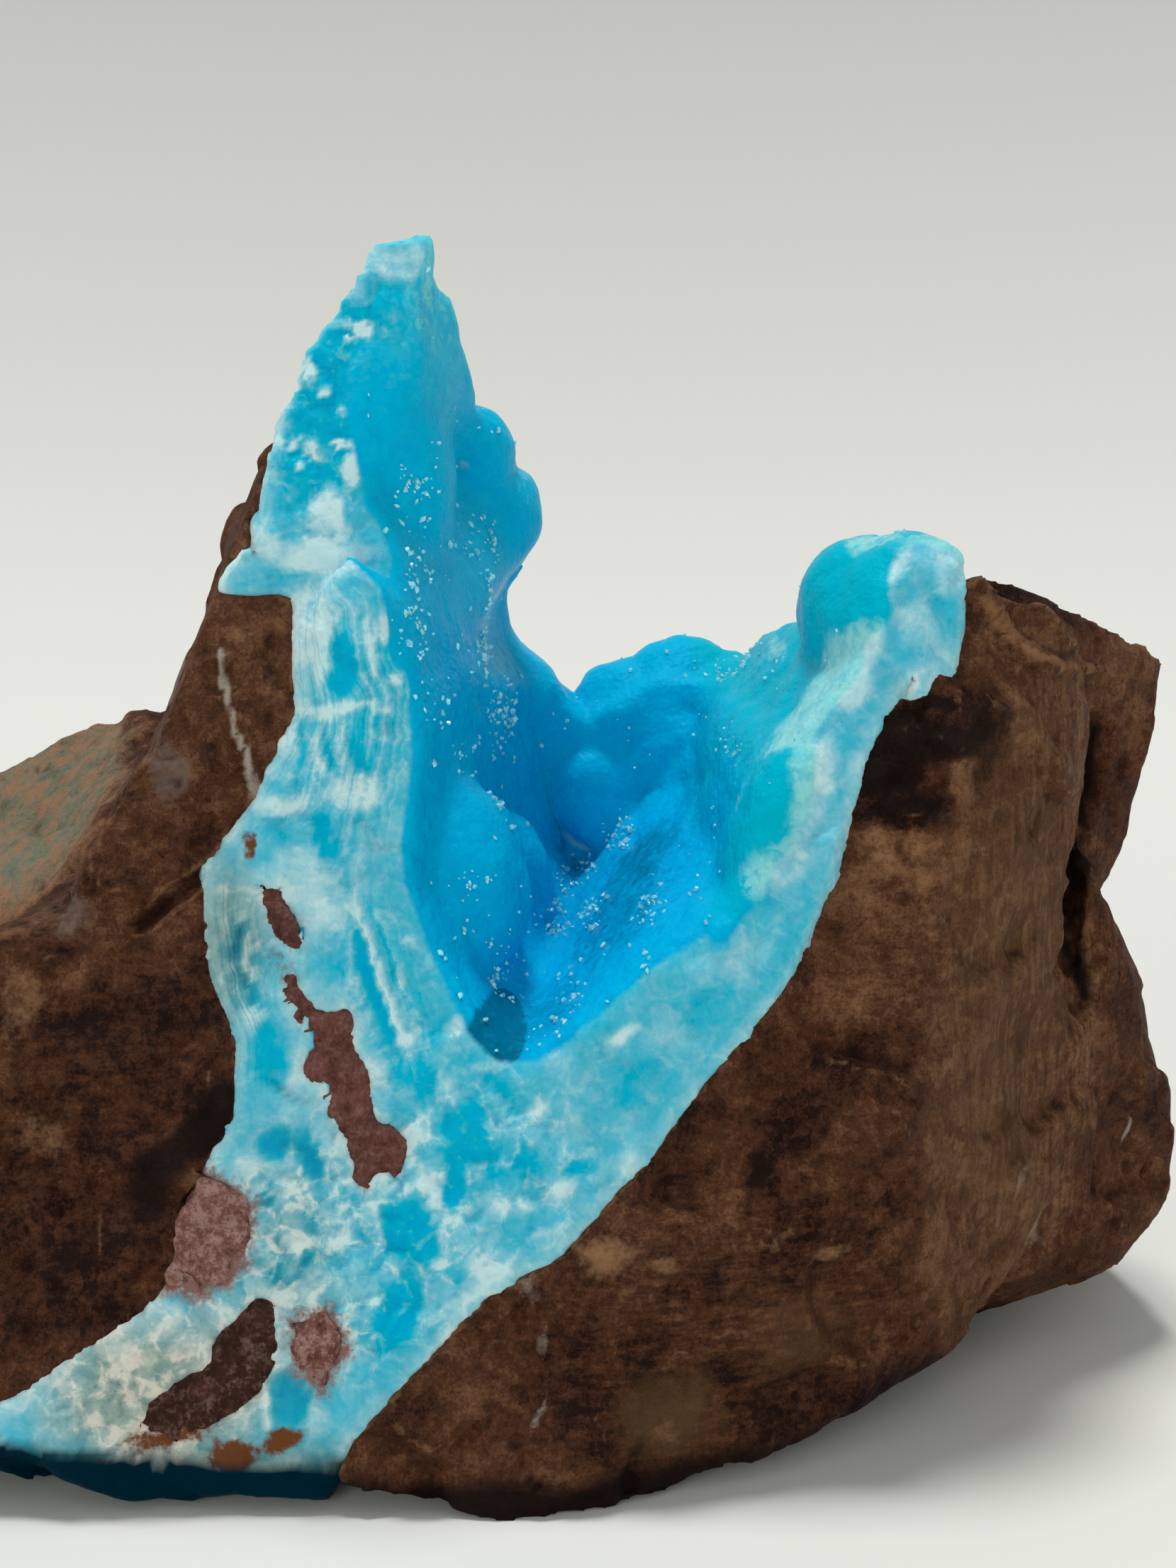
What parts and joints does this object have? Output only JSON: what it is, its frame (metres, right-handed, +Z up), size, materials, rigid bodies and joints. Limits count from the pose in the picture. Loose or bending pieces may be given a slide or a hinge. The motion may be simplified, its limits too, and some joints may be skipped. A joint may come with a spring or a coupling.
{
  "type": "hemimorphite specimen",
  "caption": "Hand specimen of blue hemimorphite: a banded crust with a tall fin and a V-shaped lobed hollow between two blocks of brown wall rock, resting on its flat base.",
  "frame": {"origin": "middle of the specimen's bounding box, on the surface that it stands on", "axes": "+X to the right along the broken front face, +Y away from that face towards the rear, +Z up"},
  "size_m": [0.0924, 0.064, 0.0743],
  "materials": {
    "hemimorphite": "blue translucent crystal crust, glossy in the hollow, banded with white where it is broken",
    "left_rock": "dull dark brown rock with lilac-grey weathered patches",
    "right_rock": "dull brown rock, rugged above and finely grained below, with tan patches",
    "brown_clast": "dull brown rock fragment",
    "pink_clast": "dull pinkish rock fragment"
  },
  "bodies": {
    "root": {"hemimorphite_crust": "hemimorphite", "left_wall_rock": "left_rock", "right_wall_rock": "right_rock", "small_clast": "brown_clast", "seam_clast": "brown_clast", "pink_clast": "pink_clast", "rosy_clast": "pink_clast", "lens_clast": "brown_clast"}
  },
  "joints": []
}
